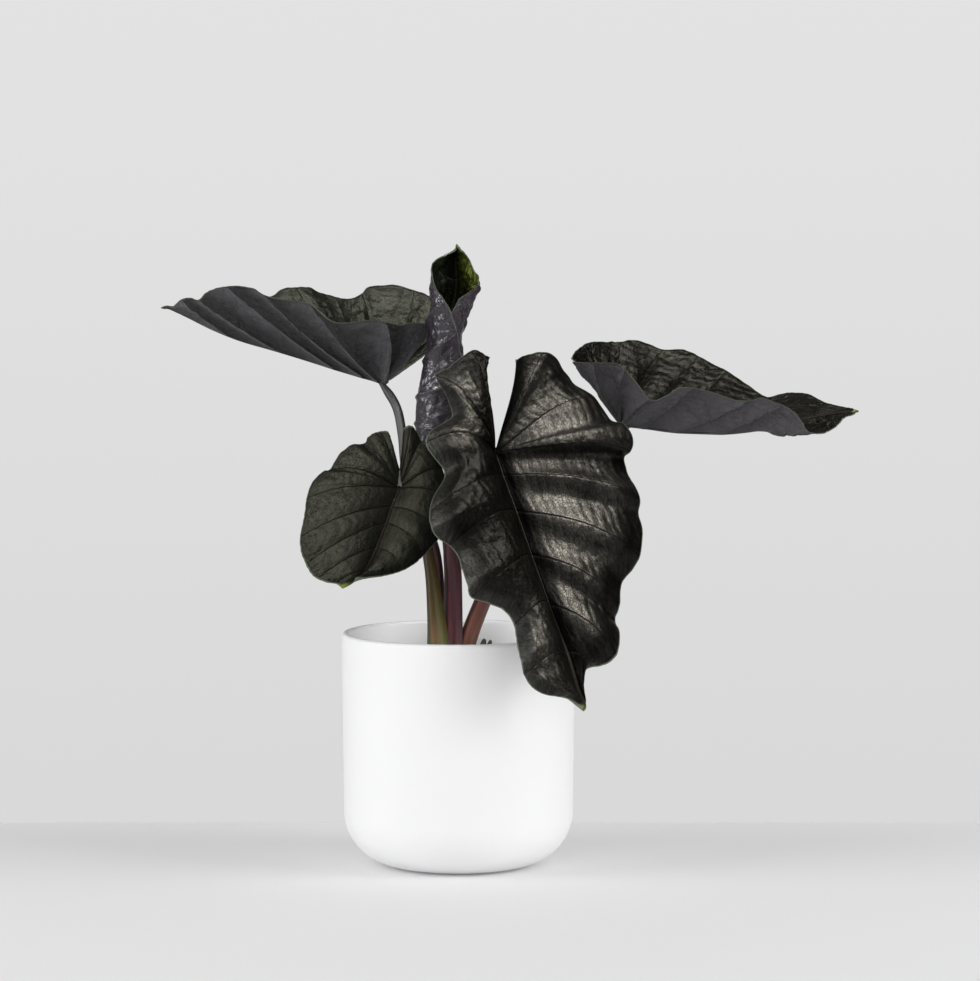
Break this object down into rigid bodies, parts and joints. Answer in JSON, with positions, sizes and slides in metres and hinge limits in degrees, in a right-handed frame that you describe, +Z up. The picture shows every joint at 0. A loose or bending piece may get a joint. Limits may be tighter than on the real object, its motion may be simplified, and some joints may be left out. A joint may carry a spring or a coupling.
{
  "type": "potted velvet alocasia",
  "caption": "Aroid house plant with dark velvety arrow-shaped leaves, a rolled new leaf and fleshy petioles, standing in bark-rich soil in a plain round white pot.",
  "frame": {"origin": "centre of the flat face under the pot, where it stands", "axes": "+Z up, -Y the plant's front, +X to the right across the widest spread of the leaves"},
  "size_m": [0.4164, 0.174, 0.3733],
  "materials": {
    "pot": "satin",
    "soil": "matte",
    "dry_sheath": "matte",
    "petiole_red": "satin",
    "petiole_olive": "satin",
    "leaf": "satin",
    "new_leaf": "satin"
  },
  "bodies": {
    "root": {"pot": "pot", "soil": "soil", "dry_sheath": "dry_sheath", "petiole_front": "petiole_red", "petiole_lower_left": "petiole_red", "petiole_right": "petiole_red", "petiole_upper_left": "petiole_olive", "petiole_rolled": "petiole_olive", "blade_front": "leaf", "blade_lower_left": "leaf", "blade_upper_left": "leaf", "blade_right": "leaf", "blade_rolled": "new_leaf"}
  },
  "joints": []
}
